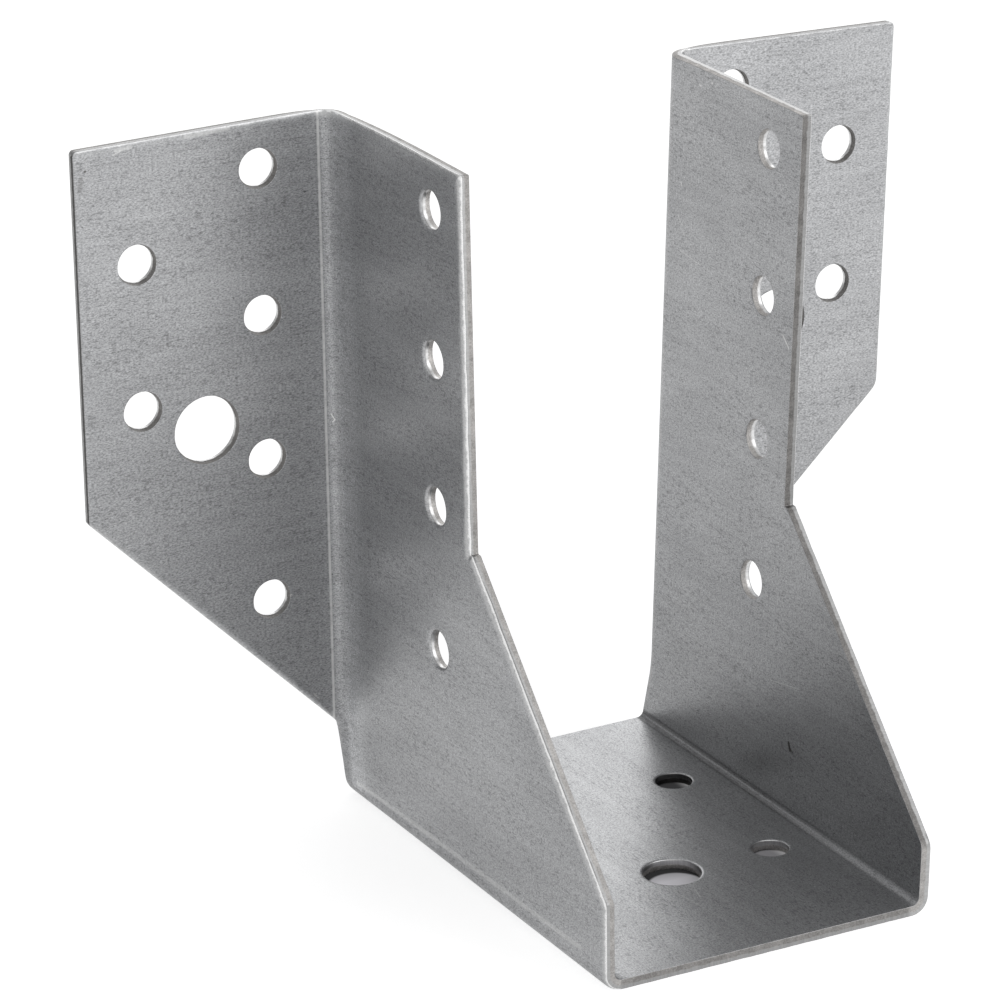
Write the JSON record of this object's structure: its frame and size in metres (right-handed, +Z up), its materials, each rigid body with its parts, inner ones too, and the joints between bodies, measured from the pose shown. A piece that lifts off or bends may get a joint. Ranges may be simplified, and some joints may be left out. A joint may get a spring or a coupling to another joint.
{
  "type": "joist hanger",
  "caption": "Folded sheet-steel joist hanger with outward face flanges, nail and bolt holes, and a flat seat between tapering cheeks.",
  "frame": {"origin": "middle of the seat's rear edge, on the seat's underside; the header beam's face is 0.8 mm further back", "axes": "+X across the pocket, +Y towards the header beam, +Z up"},
  "size_m": [0.1234, 0.0709, 0.098],
  "materials": {
    "galvanised_steel": "bright zinc-coated rolled sheet, satin, with faint rolling streaks and bare grey sheared edges"
  },
  "bodies": {
    "root": {"hanger": "galvanised_steel"}
  },
  "joints": []
}
